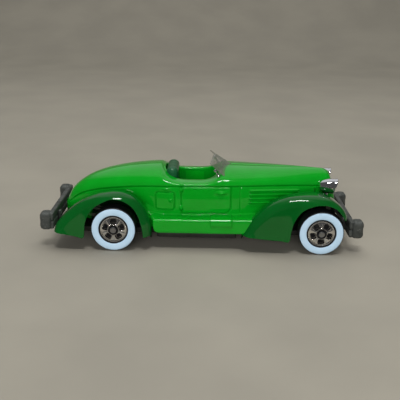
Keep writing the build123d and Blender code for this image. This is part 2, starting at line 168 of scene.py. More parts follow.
def enamel(name, deep, lively, dust, rough, painted_well_shade=False):
    """Thick gloss enamel: pigment drift, orange peel, fine dust and faint rub marks. Given the
    last flag, it gets painted shade round the axles: darker enamel standing in for deep shade in the wheel
    wells."""
    finish = Finish(name, Coat_Roughness=0.04, Coat_IOR=1.45, Coat_Weight=1.0,
                    Specular_IOR_Level=0.05)
    drift = finish.span(finish.noise(220.0, 3.0), 0.3, 0.7)
    specks = finish.span(finish.noise(9000.0, 2.0), 0.70, 0.78)
    rubs = finish.span(finish.noise(900.0, 5.0, 0.7), 0.62, 0.72)
    colour = finish.mix(drift, deep, lively)
    colour = finish.mix(specks * 0.25, colour, dust)
    # Painted shade: the enamel darkens into the wheel wells round each axle
    if painted_well_shade:
        for end in AXLE_X:
            colour = finish.mix(well_shade_mask(finish, end), colour, WELL_SHADE_COLOUR)
    peel = finish.bump(finish.noise(1500.0, 2.0), 0.12, 0.00006)
    return finish.feed(Base_Color=colour, Roughness=rough + 0.06 * rubs + 0.05 * specks, Normal=peel)


def bare_cast(name, dark, light):
    """Unpainted zinc casting: grainy skin, dark patina and small bright rubs, and painted shade
    that darkens it towards the underside of the base."""
    finish = Finish(name)
    patina = finish.span(finish.noise(500.0, 5.0, 0.65), 0.32, 0.68)
    grain = finish.noise(5200.0, 3.0, 0.6)
    rub = finish.span(finish.noise(1300.0, 4.0, 0.6), 0.60, 0.72)
    colour = finish.mix(patina, dark, light)
    colour = finish.mix(rub * 0.45, colour, rgba(0.42, 0.43, 0.42))
    # Painted shade: darker towards the underside, where little light reaches
    low = finish.span(finish.axis("Z"), BASE_SHADE_FADE[1] * MM, BASE_SHADE_FADE[0] * MM)
    colour = finish.mix(low * 0.75, colour, UNDERSIDE_SHADE_COLOUR)
    skin = finish.bump(grain, 0.35, 0.00012)
    return finish.feed(Base_Color=colour, Metallic=0.55 + 0.35 * rub,
                       Roughness=0.52 - 0.18 * rub + 0.1 * grain, Normal=skin)


def plating(name, tint, rough):
    """Bright vacuum plating: nearly a mirror, with a slight haze and small pits."""
    finish = Finish(name, Metallic=1.0)
    haze = finish.span(finish.noise(700.0, 4.0), 0.4, 0.75)
    pits = finish.span(finish.noise(11000.0, 2.0), 0.70, 0.76)
    colour = finish.mix(pits * 0.6, tint, rgba(0.16, 0.16, 0.17))
    ripple = finish.bump(finish.noise(1600.0, 2.0), 0.18, 0.00008)
    return finish.feed(Base_Color=colour, Roughness=rough + 0.12 * haze, Normal=ripple)


def moulded(name, base, lift, rough, grain_scale=2600.0):
    """Moulded plastic: a soft mottle of its colour and a fine moulding grain."""
    finish = Finish(name, IOR=1.48)
    mottle = finish.span(finish.noise(420.0, 4.0), 0.3, 0.7)
    scuffs = finish.span(finish.noise(1700.0, 5.0, 0.7), 0.60, 0.70)
    colour = finish.mix(mottle, base, lift)
    skin = finish.bump(finish.noise(grain_scale, 2.0), 0.08, 0.0001)
    return finish.feed(Base_Color=colour, Roughness=rough + 0.12 * scuffs, Normal=skin)


def clear_plastic(name, tint, rough, clarity=0.42):
    """Clear moulding: mostly see-through, with a smoky tint and faint flow marks."""
    finish = Finish(name, IOR=1.46)
    flow = finish.span(finish.noise(380.0, 3.0), 0.35, 0.7)
    haze = finish.span(finish.noise(2400.0, 4.0), 0.45, 0.75)
    colour = finish.mix(flow, tint, rgba(tint[0] * 1.25, tint[1] * 1.25, tint[2] * 1.2))
    ripple = finish.bump(finish.noise(700.0, 2.0), 0.1, 0.0001)
    finish.material.surface_render_method = "BLENDED"
    return finish.feed(Base_Color=colour, Roughness=rough + 0.08 * haze,
                       Alpha=clarity + 0.14 * flow, Normal=ripple)


FINISHES = {
    "body_green": enamel("body_enamel", rgba(0.0010, 0.272, 0.009), rgba(0.0014, 0.300, 0.012),
                         rgba(0.07, 0.34, 0.08), 0.22, True),
    "fender_green": enamel("fender_enamel", rgba(0.0006, 0.080, 0.008), rgba(0.0008, 0.090, 0.010),
                           rgba(0.03, 0.13, 0.04), 0.26),
    "interior_green": enamel("interior_enamel", rgba(0.001, 0.35, 0.010), rgba(0.0014, 0.39, 0.013),
                             rgba(0.05, 0.34, 0.06), 0.4),
    "bare_casting": bare_cast("bare_casting", rgba(0.062, 0.067, 0.062), rgba(0.125, 0.134, 0.124)),
    "rivet_metal": bare_cast("rivet_metal", rgba(0.16, 0.16, 0.155), rgba(0.3, 0.3, 0.29)),
    "axle_steel": plating("axle_steel", rgba(0.36, 0.36, 0.37), 0.32),
    "chrome_plastic": plating("chrome_plating", rgba(0.82, 0.82, 0.85), 0.07),
    "bright_foil": plating("wheel_foil", rgba(0.80, 0.78, 0.76), 0.16),
    "seat_green": moulded("seat_plastic", rgba(0.006, 0.072, 0.024), rgba(0.010, 0.092, 0.032),
                          0.33),
    "tyre_black": moulded("tyre_plastic", rgba(0.010, 0.010, 0.012), rgba(0.017, 0.017, 0.019), 0.42),
    "wheel_black": moulded("wheel_plastic", rgba(0.006, 0.006, 0.007), rgba(0.011, 0.011, 0.013), 0.3),
    "whitewall": moulded("whitewall_ink", rgba(0.46, 0.64, 0.78), rgba(0.51, 0.68, 0.82), 0.36, 5200.0),
    "windshield_clear": clear_plastic("windshield_plastic", rgba(0.16, 0.17, 0.135), 0.08),
    "lens_clear": clear_plastic("lens_plastic", rgba(0.7, 0.7, 0.72), 0.05, 0.25),
}

# Painted shade: the inner skin of the fenders is coloured darker than the outside, as a stand-in for deep
# shade
FENDER_PAINTED_SHADE = enamel("fender_inside_painted_shade", rgba(0.0004, 0.010, 0.002), rgba(0.0006, 0.016, 0.003),
                  rgba(0.01, 0.02, 0.01), 0.6)

# ---------------------------------------------------------------- mesh helpers


def add_mesh(name, slot, vertices, faces, body="car"):
    """Puts arrays in millimetres into a mesh in metres, with the slot's finish."""
    mesh = bpy.data.meshes.new(name)
    mesh.from_pydata((np.asarray(vertices) * MM).tolist(), [], np.asarray(faces).tolist())
    mesh.validate()
    mesh.polygons.foreach_set("use_smooth", np.full(len(mesh.polygons), True))
    mesh.materials.append(FINISHES[slot])
    piece = bpy.data.objects.new(name, mesh)
    bpy.context.scene.collection.objects.link(piece)
    mesh.update()
    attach(piece, body)
    return piece


def grid_faces(rows, columns, wrap_columns=False, flip=False):
    """Quads of a rows x columns grid of vertices, optionally closed across its columns."""
    i = np.arange(rows - 1)
    j = np.arange(columns if wrap_columns else columns - 1)
    i, j = (part.ravel() for part in np.meshgrid(i, j, indexing="ij"))
    i2, j2 = i + 1, (j + 1) % columns
    quads = np.stack([i * columns + j, i2 * columns + j, i2 * columns + j2, i * columns + j2], 1)
    return quads[:, ::-1] if flip else quads


def smoothstep(low, high, value):
    """0 below low, 1 above high, and an S curve between them."""
    t = np.clip((value - low) / (high - low), 0.0, 1.0)
    return t * t * (3.0 - 2.0 * t)


def through(points, t):
    """A Catmull-Rom curve through the points at t from 0 to 1, with even steps per point."""
    points = np.asarray(points, float)
    ends = np.vstack([2 * points[0] - points[1], points, 2 * points[-1] - points[-2]])
    place = np.clip(np.asarray(t, float), 0.0, 1.0) * (len(points) - 1)
    index = np.minimum(place.astype(int), len(points) - 2)
    f = (place - index)[..., None]
    a, b, c, d = (ends[index + k] for k in range(4))
    return 0.5 * (2 * b + (c - a) * f + (2 * a - 5 * b + 4 * c - d) * f ** 2
                  + (3 * b - a - 3 * c + d) * f ** 3)


def table_curve(table, x):
    """Smooth columns of a table against its first column, evaluated at x."""
    table = np.asarray(table, float)
    spread = np.linspace(0.0, 1.0, 40 * len(table))
    dense = through(table, spread)
    order = np.argsort(dense[:, 0])
    return [np.interp(x, dense[order, 0], dense[order, k]) for k in range(1, table.shape[1])]


def spaced(low, high, step, features=(), fine=0.07, reach=0.5):
    """Values from low to high, step apart, and closer together around each feature."""
    marks = [low]
    while marks[-1] < high:
        near = any(abs(marks[-1] - f) < reach for f in features)
        marks.append(marks[-1] + (fine if near else step))
    marks = np.array(marks)
    return low + (marks - low) * (high - low) / (marks[-1] - low)


def weld(piece, distance=0.002, outward=False):
    """Merges doubles closer than distance in millimetres, and faces closed shapes outward."""
    work = bmesh.new()
    work.from_mesh(piece.data)
    bmesh.ops.remove_doubles(work, verts=work.verts, dist=distance * MM)
    if outward:
        bmesh.ops.recalc_face_normals(work, faces=work.faces)
    work.to_mesh(piece.data)
    work.free()
    return piece


def turned(profile, axis, count=96):
    """A lathe shape: the profile's places along the axis and radii, swept once round it."""
    profile = np.asarray(profile, float)
    angle = np.linspace(0.0, 2 * np.pi, count, endpoint=False)
    along, radius = profile[:, 0, None], profile[:, 1, None]
    vertices = np.empty((len(profile), count, 3))
    vertices[..., axis] = along
    vertices[..., (axis + 1) % 3] = radius * np.cos(angle)
    vertices[..., (axis + 2) % 3] = radius * np.sin(angle)
    return vertices.reshape(-1, 3), grid_faces(len(profile), count, wrap_columns=True)


def rounded_box(low, high, radius, steps=6):
    """A box with rounded edges: every point of a cube's surface is moved to the radius
    from the nearest point of the box's core."""
    low, high = np.asarray(low, float), np.asarray(high, float)
    near_edge = radius * (1.0 - np.tan(np.linspace(np.pi / 4, 0.0, steps)))
    vertices, faces, count = [], [], 0
    for axis in range(3):
        first, second = (axis + 1) % 3, (axis + 2) % 3
        ticks = []
        for across in (first, second):
            length = high[across] - low[across]
            flat = np.linspace(radius, length - radius, max(3, int(length / 0.7)))[1:-1]
            ticks.append(low[across] + np.concatenate([near_edge, flat, length - near_edge[::-1]]))
        a, b = np.meshgrid(*ticks, indexing="ij")
        for level in (low[axis], high[axis]):
            point = np.empty(a.shape + (3,))
            point[..., axis], point[..., first], point[..., second] = level, a, b
            core = np.clip(point, low + radius, high - radius)
            away = point - core
            away /= np.linalg.norm(away, axis=-1, keepdims=True)
            vertices.append((core + radius * away).reshape(-1, 3))
            faces.append(grid_faces(*a.shape) + count)
            count += a.size
    return np.vstack(vertices), np.vstack(faces)


def joined(shapes):
    """Several shapes as one."""
    counts = np.cumsum([0] + [len(vertices) for vertices, _ in shapes])
    faces = [part + start for (_, part), start in zip(shapes, counts)]
    return np.vstack([vertices for vertices, _ in shapes]), np.vstack(faces)


def moved(shape, offset):
    """A shape carried by an offset."""
    return shape[0] + np.asarray(offset, float), shape[1]


def add_solid(name, slot, shapes, stands_for, body="car"):
    """Closed shapes as one piece, faced outward, in place of the CAD nodes they stand for."""
    piece = weld(add_mesh(name, slot, *joined(shapes), body), 0.001, outward=True)
    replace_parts(piece, *stands_for)
    return piece


# ---------------------------------------------------------------- body form

# x, half width at the belt, belt height, top height
BODY = [
    (-35.35, 0.5, 6.0, 6.8),
    (-35.1, 1.15, 7.0, 8.3),
    (-34.3, 2.0, 8.3, 10.3),
    (-33.1, 2.8, 9.7, 12.2),
    (-31.1, 3.8, 11.2, 14.0),
    (-28.1, 5.0, 12.5, 15.8),
    (-24.1, 6.2, 13.5, 17.2),
    (-19.1, 7.3, 14.3, 18.25),
    (-13.9, 8.1, 14.8, 18.85),
    (-9.2, 8.6, 15.0, 19.05),
    (-3.1, 8.85, 15.15, 19.1),
    (3.9, 8.8, 15.25, 19.0),
    (9.4, 8.4, 15.3, 18.9),
    (17.9, 6.9, 15.2, 18.7),
    (23.9, 5.3, 14.9, 18.5),
    (27.9, 4.1, 14.6, 18.3),
    (31.0, 3.3, 14.5, 18.15),
    (36.5, 2.6, 14.3, 17.9),
]
TAIL_X = -35.35
# How far the belt line and cast-in lines take to fade in from the tail
TAIL_FADE = 4.0
COCKPIT_X = (-9.4, 5.2)
COCKPIT_MIDDLE = 0.5 * (COCKPIT_X[0] + COCKPIT_X[1])
COCKPIT_REACH = 0.5 * (COCKPIT_X[1] - COCKPIT_X[0])
COCKPIT_HALF_W = 5.35
COCKPIT_DIP = 2.85
COCKPIT_CORNER = 3.2
# The dip starts this far behind the opening
DIP_LEAD = 0.6
LIP_R = 0.42
LIP_DEPTH = 3.4


def crown_height(x, y):
    """Height of the deck, cowl and hood: half an ellipse over the belt. Along the cockpit
    it dips and turns into a flatter superellipse with a tighter shoulder."""
    half, belt, top = table_curve(BODY, x)
    part = np.clip((x - COCKPIT_MIDDLE + DIP_LEAD) / (COCKPIT_REACH + DIP_LEAD), -1.0, 1.0)
    share = (1.0 - part ** 4) ** 1.5
    dip = COCKPIT_DIP * share
    power = 2.0 + 1.5 * share
    across = np.clip(1.0 - np.clip(y / half, 0.0, 1.0) ** power, 0.0, 1.0) ** (1.0 / power)
    return belt + (top - belt - dip) * across


def opening_half_width(x):
    """Half width of the cockpit opening: a squarish superellipse in plan."""
    part = np.clip(np.abs((x - COCKPIT_MIDDLE) / COCKPIT_REACH), 0.0, 1.0)
    return COCKPIT_HALF_W * (1.0 - part ** COCKPIT_CORNER) ** (1.0 / COCKPIT_CORNER)


# Nose seen from the side: x, z from the top edge down, and how far it sweeps back per mm
NOSE = [(31.15, 18.2), (32.2, 17.2), (33.15, 15.4), (33.9, 12.6), (34.4, 9.5), (34.75, 5.0)]
NOSE_SWEEP = 0.25


def nose_x(y, z):
    """x of the V nose at a height, swept back on either side of its keel."""
    points = np.asarray(NOSE)[::-1]
    dense = through(points, np.linspace(0, 1, 200))
    return np.interp(z, dense[:, 1], dense[:, 0]) - NOSE_SWEEP * np.sqrt(y ** 2 + 0.16) + 0.1


EDGE_R = 0.9
EDGE_STEPS = 12
SHELL_REAR_X = 28.5
# The last plain column; the columns past SHELL_REAR_X are stretched from here to the nose
LAST_X = 30.2
BODY_BOTTOM_Z = 4.95


def with_edge(straight):
    """The columns' x, and how far each is round the nose edge, from 0 to 1: the rounded
    edge's own columns are added after the straight ones, at the last one's x."""
    edge = np.linspace(0.0, 1.0, EDGE_STEPS)[1:]
    column_x = np.concatenate([straight, np.full(edge.size, straight[-1])])
    return column_x, np.concatenate([np.zeros(straight.size), edge])


def close_tail(x, y):
    """Brings the sides together at the tail along a quarter ellipse."""
    tail = np.clip((x - TAIL_X) / 0.4, 0.0, 1.0)
    return y * np.sqrt(1.0 - (1.0 - tail) ** 2)


def bend_nose(x, y, z, edge):
    """Stretches columns past the radiator's rear edge to the V nose and rounds its rim:
    the last columns follow a quarter circle of radius EDGE_R into the nose face."""
    share = np.clip((x - SHELL_REAR_X) / (LAST_X - SHELL_REAR_X), 0.0, 1.0)
    target = nose_x(y, z) - EDGE_R
    bent = np.where(x > SHELL_REAR_X, SHELL_REAR_X + (target - SHELL_REAR_X) * share, x)
    return bent + EDGE_R * np.sin(edge * np.pi / 2)


def groove(distance, depth, width):
    """A rounded line cut into the casting."""
    return -depth * np.exp(-(distance / width) ** 2)


def rounded_box_distance(x, z, box, radius):
    """Distance from a rounded rectangle's edge, negative inside."""
    x0, x1, z0, z1 = box
    dx = np.abs(x - (x0 + x1) / 2) - (x1 - x0) / 2 + radius
    dz = np.abs(z - (z0 + z1) / 2) - (z1 - z0) / 2 + radius
    outside = np.hypot(np.maximum(dx, 0), np.maximum(dz, 0))
    return outside + np.minimum(np.maximum(dx, dz), 0) - radius


# x range, z range
DOOR = (-5.15, 7.15, 8.3, 22.0)
DOOR_FRONT_R = 1.9
DOOR_REAR_R = 0.9
DOOR_PROUD = 0.12
LUGGAGE_DOOR = (-11.5, -6.75, 9.15, 13.65)
LUGGAGE_R = 0.8
LUGGAGE_PROUD = 0.24
COWL_LINE_X = 9.45
# Depth and width of each cut line
BELT_LINE = (0.42, 0.15)
DOOR_LINE = (0.32, 0.15)
COWL_LINE = (0.13, 0.17)
SHELL_LINE = (0.42, 0.26)
LUGGAGE_LINE = (0.28, 0.16)
LOUVRE_LINE = (0.25, 0.16)
# Each louvre's drop below the belt
LOUVRES = (0.95, 1.95, 2.95, 4.0)
LOUVRE_X = (11.45, 24.45)
LOUVRE_PROUD = 0.42
# x and z of each raised detail, and its length, width and height
HINGES = ((-5.1, 14.35), (-5.1, 9.7))
HINGE_SIZE = (0.5, 0.9, 1.0)
TOP_HINGE_Z = 15.62
TOP_HINGE_SIZE = (0.34, 0.3, 0.5)
DOOR_HANDLE = (4.75, 13.75)
HANDLE_SIZE = (1.45, 0.6, 0.85)
LUGGAGE_HINGE = (-8.95, 14.45)
LUGGAGE_HINGE_SIZE = (1.35, 0.42, 0.46)
LUGGAGE_KNOB = (-7.7, 11.6)
KNOB_SIZE = (0.5, 0.5, 0.6)


def bead(x, z, place, length, width, height):
    """A raised rounded bead; length runs along x and width along z."""
    part = ((x - place[0]) / length) ** 2 + ((z - place[1]) / width) ** 2
    return height * np.sqrt(np.clip(1.0 - part, 0.0, 1.0))


def ridge(x, z, place, length, width, height):
    """A raised bead with flat flanks: it falls evenly from its middle to its outline."""
    part = ((x - place[0]) / length) ** 2 + ((z - place[1]) / width) ** 2
    return height * np.clip(1.0 - np.sqrt(part), 0.0, 1.0)


def louvre(x, above):
    """One louvre: a rib with a steep lower flank and a slot under it, faded at both ends."""
    ends = smoothstep(LOUVRE_X[0], LOUVRE_X[0] + 0.6, x) * smoothstep(LOUVRE_X[1], LOUVRE_X[1] - 0.6, x)
    rib = LOUVRE_PROUD * smoothstep(-0.36, -0.1, above) * smoothstep(0.3, -0.08, above)
    return ends * (rib + groove(above + 0.48, *LOUVRE_LINE))


def side_relief(x, z, belt, side):
    """Everything cast into the body side: lines, louvres, hinges, handle and knob."""
    relief = groove(z - belt, *BELT_LINE)
    door = np.where(x < 1.0, rounded_box_distance(x, z, DOOR, DOOR_REAR_R),
                    rounded_box_distance(x, z, DOOR, DOOR_FRONT_R))
    panel = groove(door, *DOOR_LINE) + DOOR_PROUD * smoothstep(0.1, -0.4, door)
    relief += np.where(z < belt, panel, 0.0)
    relief += np.where(z < belt, groove(x - COWL_LINE_X, *COWL_LINE), 0.0)
    relief += np.where(z < belt - 0.5, groove(x - SHELL_REAR_X, *SHELL_LINE), 0.0)
    if side == RIGHT:
        luggage = rounded_box_distance(x, z, LUGGAGE_DOOR, LUGGAGE_R)
        relief += groove(luggage, *LUGGAGE_LINE) + LUGGAGE_PROUD * smoothstep(0.05, -0.3, luggage)
        relief += ridge(x, z, LUGGAGE_HINGE, *LUGGAGE_HINGE_SIZE)
        relief += ridge(x, z, LUGGAGE_KNOB, *KNOB_SIZE)
    for drop in LOUVRES:
        relief += louvre(x, z - belt + drop)
    for place in HINGES:
        relief += ridge(x, z, place, *HINGE_SIZE)
    relief += ridge(x, z, DOOR_HANDLE, *HANDLE_SIZE)
    under_handle = ((x - DOOR_HANDLE[0]) / 1.3) ** 2 + ((z - DOOR_HANDLE[1] + 0.6) / 0.25) ** 2
    relief -= 0.2 * np.exp(-under_handle)
    return relief


SILL_OUT = 12.72
SILL_REAR = -11.75
FLARE_REAR = -14.5
LEDGE_Z = 7.86
SKIRT_Z = 4.42
SKIRT_CORNER_R = 1.3
# The ledge slopes up this much per mm forwards
LEDGE_RISE = 0.015
STEP = (1.95, 7.55)
STEP_EDGE = 0.3
# Share of the side's rows above the sill
UPPER_SHARE = 0.6
SIDE_SWELL = 0.12


def side_path(x, t):
    """The body side's y and z at x, for t from 0 at the belt to 1 at its lower edge.

    Down to UPPER_SHARE it is the upright side; then a fillet, the ledge, its outer edge and
    the skirt. Outside the sill the ledge shrinks onto the side, which runs straight down.
    """
    half, belt, _ = table_curve(BODY, x)
    ledge = LEDGE_Z + LEDGE_RISE * (x + 5.0)
    flare = smoothstep(-9.2, FLARE_REAR, x)
    web = np.clip((x - FLARE_REAR) / (SILL_REAR - FLARE_REAR), 0.0, 1.0)
    rear_out = np.where(x < SILL_REAR, web ** 1.6, 1.0)
    front_out = smoothstep(22.0, 17.0, x)
    share = rear_out * front_out
    out = half + SIDE_SWELL + (SILL_OUT - half - SIDE_SWELL) * share
    in_sill = share > 0.0
    join_z = np.where(in_sill, ledge + 0.34 + 2.6 * flare, 8.2)
    upper = np.clip(t / UPPER_SHARE, 0.0, 1.0)
    y_side = half + SIDE_SWELL * np.sin(np.pi * upper) + 0.1 * upper
    z_side = belt + (join_z - belt) * upper
    corners_out = np.stack([0.0 * x, 0.30 + 0.5 * flare, 1.0 + 0.8 * flare, (out - half) * 0.72,
                            out - half - 0.38, out - half - 0.06, out - half, out - half,
                            out - half - 0.12, out - half - 0.9])
    low = np.where(in_sill, SKIRT_Z, BODY_BOTTOM_Z)
    round_rear = 1.0 - np.clip((x - SILL_REAR) / SKIRT_CORNER_R, 0.0, 1.0)
    low = low + np.where(in_sill, SKIRT_CORNER_R * (1.0 - np.sqrt(1.0 - round_rear ** 2)), 0.0)
    corners_z = np.stack([join_z, ledge + 0.06 + 1.0 * flare, ledge + 0.5 * flare, ledge - 0.04,
                          ledge - 0.1, ledge - 0.42, ledge - 1.1, low + 0.5, low + 0.05, low + 0.02])
    corners_out = np.where(corners_out > out - half, out - half, corners_out)
    corners_out[0] = 0.1
    place = np.clip((t - UPPER_SHARE) / (1.0 - UPPER_SHARE), 0.0, 1.0) * (len(corners_z) - 1)
    index = np.minimum(place.astype(int), len(corners_z) - 2)
    f = place - index
    pick = np.arange(x.size).reshape(x.shape)
    flat_out = corners_out.reshape(len(corners_out), -1)
    flat_z = corners_z.reshape(len(corners_z), -1)
    y_low = half + flat_out[index, pick] * (1 - f) + flat_out[index + 1, pick] * f
    z_low = flat_z[index, pick] * (1 - f) + flat_z[index + 1, pick] * f
    lower = t > UPPER_SHARE
    return np.where(lower, y_low, y_side), np.where(lower, z_low, z_side), belt


def add_body_side(side):
    """Belt to skirt on one side, with all its cast detail."""
    features = (*DOOR[:2], COWL_LINE_X, SHELL_REAR_X, HINGES[0][0], DOOR_HANDLE[0], *LOUVRE_X,
                *LUGGAGE_DOOR[:2], SILL_REAR, *STEP)
    column_x, column_edge = with_edge(spaced(TAIL_X, LAST_X, 0.22, features))
    rows_upper = np.linspace(0.0, UPPER_SHARE, 96)
    rows_lower = np.linspace(UPPER_SHARE, 1.0, 56)[1:]
    t, x = np.meshgrid(np.concatenate([rows_upper, rows_lower]), column_x, indexing="ij")
    y, z, belt = side_path(x, t)
    relief = side_relief(x, z, belt, side) * (t <= UPPER_SHARE)
    relief *= smoothstep(TAIL_X, TAIL_X + TAIL_FADE, x)
    plate = smoothstep(STEP[0], STEP[0] + STEP_EDGE, x) * smoothstep(STEP[1], STEP[1] - STEP_EDGE, x)
    plate *= smoothstep(0.63, 0.66, t) * smoothstep(6.25, 6.55, z)
    thick_ledge = 0.12 * smoothstep(-4.5, -4.9, x) * (t > 0.62) * smoothstep(6.9, 7.2, z)
    y = y + relief + 0.45 * plate * smoothstep(0.72, 0.8, t)
    z = z + (0.3 * plate + thick_ledge) * (z > 7.0)
    y = y - EDGE_R * (1.0 - np.cos(column_edge * np.pi / 2))
    x = bend_nose(x, y, z, column_edge)
    y = close_tail(column_x, y)
    vertices = np.stack([x, side * y, z], -1).reshape(-1, 3)
    faces = grid_faces(t.shape[0], t.shape[1], flip=side == LEFT)
    name = "body_side_left" if side == LEFT else "body_side_right"
    return weld(add_mesh(name, "body_green", vertices, faces))


def add_body_crown():
    """Deck, cowl and hood: one surface from belt to belt with the cockpit left open."""
    round_opening = COCKPIT_MIDDLE - COCKPIT_REACH * np.cos(np.linspace(0.0, np.pi, 130))
    behind = spaced(TAIL_X, COCKPIT_X[0], 0.3)[:-1]
    ahead = spaced(COCKPIT_X[1], LAST_X, 0.25, (SHELL_REAR_X,))[1:]
    column_x, column_edge = with_edge(np.concatenate([behind, round_opening, ahead]))
    share = np.concatenate([0.05 * np.linspace(0, 1, 12) ** 1.2, np.linspace(0.05, 1.0, 56)[1:]])
    v, x = np.meshgrid(share, column_x, indexing="ij")
    half, belt, _ = table_curve(BODY, x)
    beside = np.abs(x - COCKPIT_MIDDLE) < COCKPIT_REACH
    inner = np.where(beside, np.minimum(opening_half_width(x) + LIP_R, half), 0.0)
    angle_in = np.arccos(np.clip(inner / half, -1.0, 1.0))
    y = half * np.cos(v * angle_in)
    z = crown_height(x, y)
    y = y + groove(z - belt, *BELT_LINE) * smoothstep(TAIL_X, TAIL_X + TAIL_FADE, x)
    y = y + bead(x, z, (HINGES[0][0], TOP_HINGE_Z), *TOP_HINGE_SIZE)
    inset = EDGE_R * (1.0 - np.cos(column_edge * np.pi / 2))
    lean = np.clip(y / half, 0.0, 1.0)
    y = y - inset * lean
    z = z - inset * np.sqrt(1.0 - lean ** 2)
    seam = np.exp(-(y / 0.16) ** 2) * smoothstep(COCKPIT_X[1] + 1.8, COCKPIT_X[1] + 2.4, x)
    z = z + 0.10 * seam * smoothstep(31.0, 29.0, x)
    y = close_tail(x, y)
    x = bend_nose(x, y, z, column_edge)
    rows, columns = v.shape
    left = np.stack([x, y, z], -1).reshape(-1, 3)
    right = left * (1.0, -1.0, 1.0)
    faces = np.vstack([grid_faces(rows, columns),
                       grid_faces(rows, columns, flip=True) + rows * columns])
    return weld(add_mesh("body_crown", "body_green", np.vstack([left, right]), faces), 0.004)


def add_cockpit_rim():
    """The rolled rim: a quarter round off the crown that turns down into the cockpit."""
    count = 360
    around = np.linspace(0.0, 2 * np.pi, count, endpoint=False)
    c, s = np.cos(around), np.sin(around)
    power = 2.0 / COCKPIT_CORNER
    out = np.stack([np.sign(c) * np.abs(c) ** power * COCKPIT_REACH,
                    np.sign(s) * np.abs(s) ** power * COCKPIT_HALF_W], 1)
    ahead = np.roll(out, -1, 0) - np.roll(out, 1, 0)
    normal = np.stack([ahead[:, 1], -ahead[:, 0]], 1)
    normal /= np.linalg.norm(normal, axis=1, keepdims=True)
    turn = np.linspace(0.0, np.pi / 2, 9)
    offset = np.concatenate([LIP_R - LIP_R * np.sin(turn), np.zeros(6)])
    offset = np.concatenate([[LIP_R + 0.35], offset])
    wall = LIP_R + np.linspace(0.1, 1, 6) * LIP_DEPTH
    drop = np.concatenate([[0.0], LIP_R * (1 - np.cos(turn)), wall])
    plan = out[None] + normal[None] * offset[:, None, None]
    x, y = plan[..., 0] + COCKPIT_MIDDLE, plan[..., 1]
    edge = out + normal * LIP_R
    height = crown_height(x, np.abs(y))
    rim = crown_height(edge[:, 0] + COCKPIT_MIDDLE, np.abs(edge[:, 1]))
    z = np.where(offset[:, None] > LIP_R - 1e-6, height + 0.01, rim[None] - drop[:, None])
    vertices = np.stack([x, y, z], -1).reshape(-1, 3)
    faces = grid_faces(len(offset), count, wrap_columns=True, flip=True)
    return add_mesh("cockpit_rim", "body_green", vertices, faces)


def add_nose_face():
    """The front of the radiator shell: a flat band inside the rounded edge, then a step
    back to the grille."""
    rise = np.linspace(0.0, 1.0, 60)
    half, belt, top = (float(value) for value in table_curve(BODY, np.array(LAST_X)))
    half, top = half + SIDE_SWELL - EDGE_R, top - EDGE_R
    up = np.stack([np.full(40, half), np.linspace(BODY_BOTTOM_Z, belt, 40)], 1)
    over = np.stack([half * np.cos(rise * np.pi / 2),
                     belt + (top - belt) * np.sin(rise * np.pi / 2)], 1)
    one = np.vstack([up, over[1:]])
    loop = np.vstack([one, (one * (-1, 1))[::-1][1:]])
    rings, backs = [], []
    centre = np.array([0.0, 11.0])
    for pull, back in ((0.0, 0.0), (0.45, 0.0), (0.62, 0.05), (0.75, 0.3), (0.8, 0.75)):
        away = centre - loop
        inward = np.clip(away / (1.0, 4.0), -1, 1) * pull
        rings.append(loop + inward)
        backs.append(np.full(len(loop), back))
    flat = np.array(rings)
    y, z = flat[..., 0], flat[..., 1]
    x = nose_x(y, z) - np.array(backs)
    vertices = np.stack([x, y, z], -1).reshape(-1, 3)
    return add_mesh("nose_face", "body_green", vertices, grid_faces(len(rings), len(loop)))


GRILLE_Z = 5.2
BAR_PITCH = 0.55
CROSS_PITCH = 2.6


def add_grille():
    """The V grille: fine upright bars and four cross bars standing out of the plated sheet between them."""
    rows, columns = 160, 241
    v, u = np.meshgrid(np.linspace(0, 1, rows), np.linspace(-1, 1, columns), indexing="ij")
    half, belt, top = (float(value) for value in table_curve(BODY, np.array(LAST_X)))
    z = GRILLE_Z + v * (top - 1.3 - GRILLE_Z)
    rise = np.clip((z - belt) / (top - 0.9 - belt), 0, 1)
    y = u * (half - 1.35) * np.sqrt(np.clip(1.0 - rise ** 2, 0.02, 1))
    bars = np.abs(np.sin(y * np.pi / BAR_PITCH)) ** 2
    cross = np.exp(-(((z + 1.0) % CROSS_PITCH - CROSS_PITCH / 2) / 0.16) ** 2)
    x = nose_x(y, z) - 0.55 + 0.25 * np.maximum(bars, cross)
    vertices = np.stack([x, y, z], -1).reshape(-1, 3)
    piece = add_mesh("grille_bars", "chrome_plastic", vertices, grid_faces(rows, columns, flip=True))
    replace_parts(piece, "radiator_grille")
    return piece


# ---------------------------------------------------------------- fenders

# Crown line and lower edge in side view, paired point by point from the rear forwards
FRONT_CROWN = [(9.85, 3.95), (10.95, 5.9), (12.35, 8.2), (14.95, 10.9), (17.55, 12.8), (20.25, 13.8),
               (21.9, 14.15), (23.55, 14.35), (25.5, 14.5), (27.45, 14.5), (29.3, 14.3), (30.75, 13.8),
               (32.2, 12.95), (33.35, 12.1), (34.4, 10.95), (35.1, 9.7), (35.3, 8.8)]
FRONT_EDGE = [(10.0, 4.35), (11.6, 4.3), (13.8, 4.1), (16.8, 3.85), (19.3, 3.65), (21.25, 3.5),
              (21.65, 5.9), (22.35, 8.6), (24.05, 11.2), (26.65, 12.55), (28.6, 12.85), (30.2, 12.7),
              (31.5, 12.25), (32.5, 11.7), (33.6, 10.6), (34.4, 9.45), (34.7, 8.85)]
REAR_CROWN = [(-36.15, 4.6), (-35.6, 6.0), (-34.8, 7.2), (-32.75, 9.4), (-30.15, 11.5), (-28.7, 12.35),
              (-27.35, 13.0), (-25.9, 13.55), (-24.55, 13.95), (-21.9, 14.4), (-20.4, 14.45),
              (-18.95, 14.3), (-16.75, 13.45), (-15.15, 12.1), (-14.2, 10.9), (-13.45, 9.6),
              (-12.75, 8.0), (-12.35, 6.6), (-12.15, 5.2), (-12.2, 3.9)]
